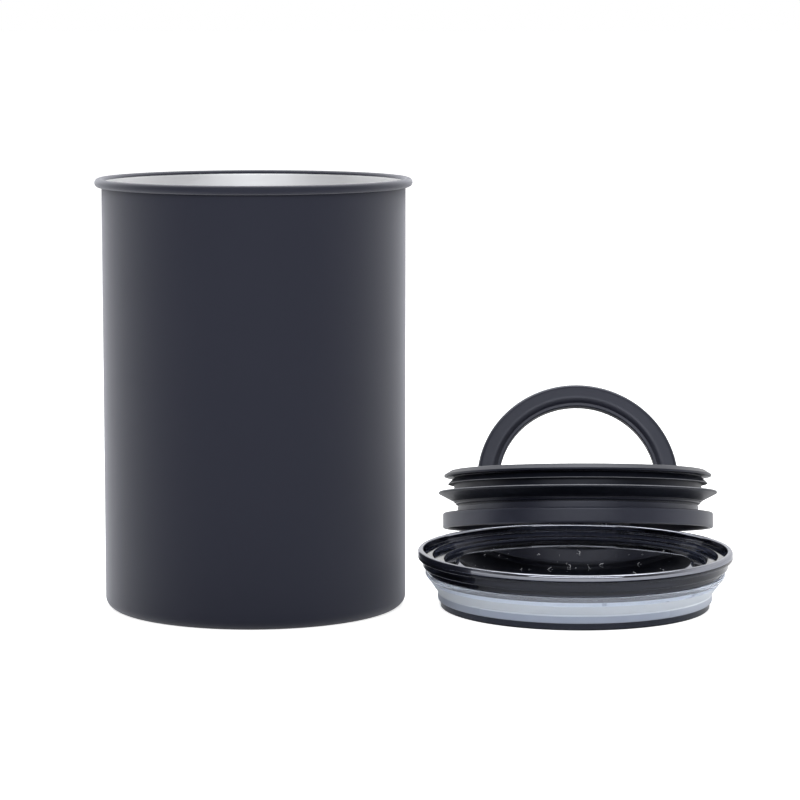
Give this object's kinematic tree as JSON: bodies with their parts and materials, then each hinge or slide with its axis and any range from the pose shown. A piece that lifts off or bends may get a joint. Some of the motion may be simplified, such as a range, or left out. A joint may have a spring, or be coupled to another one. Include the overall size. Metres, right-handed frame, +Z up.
{
  "type": "coffee canister with valve lid",
  "caption": "Tall round steel coffee canister standing open, with a smoke-grey see-through lid and a black plunger lid whose folding handle works an air valve.",
  "frame": {"origin": "centre of the canister's foot ring, on the surface that it stands on", "axes": "+Z up along the canister's axis, +X towards the two lids, -Y the front"},
  "size_m": [0.2602, 0.2448, 0.1714],
  "materials": {
    "shell_coat": "matte charcoal powder coat outside, satin bare steel inside",
    "smoke_plastic": "polished see-through plastic with a dark smoke-grey tint",
    "clear_silicone": "translucent white silicone",
    "black_plastic": "black satin polypropylene",
    "black_silicone": "black satin silicone",
    "steel": "drawn stainless steel"
  },
  "bodies": {
    "canister": {"canister_shell": "shell_coat"},
    "outer_lid": {"outer_lid_shell": "smoke_plastic", "outer_lid_gasket": "clear_silicone"},
    "plunger_lid": {"plunger_base": "black_plastic", "base_seal": "black_silicone", "plunger_top": "black_plastic", "wiper_gasket": "black_silicone", "valve_guide": "black_plastic", "valve_spring": "steel"},
    "valve": {"valve_stem": "black_plastic", "valve_seal": "black_silicone", "stem_cap": "black_plastic"},
    "handle": {"handle": "black_plastic", "pivot_axle": "steel", "valve_cam": "black_plastic"}
  },
  "joints": [
    {"name": "outer_lid_draw", "type": "slide", "parent": "canister", "child": "outer_lid", "axis": [0, -1, 0], "range_m": [0, 0.15]},
    {"name": "plunger_lift", "type": "slide", "parent": "canister", "child": "plunger_lid", "axis": [0, 0, 1], "range_m": [0, 0.2]},
    {"name": "handle_fold", "type": "hinge", "parent": "plunger_lid", "child": "handle", "pos_m": [0.1361, 0.11818, 0.03178], "axis": [-1, 0, 0], "range_deg": [-13.7, 76.3]},
    {"name": "valve_slide", "type": "slide", "parent": "plunger_lid", "child": "valve", "axis": [0, 0.2, 0.9798], "range_m": [-0.00038, 0.00204], "deforming": ["valve_spring"]}
  ],
  "couplings": [
    {"joint": "valve_slide", "follows": "handle_fold", "m_per_rad": 0.0015279}
  ]
}
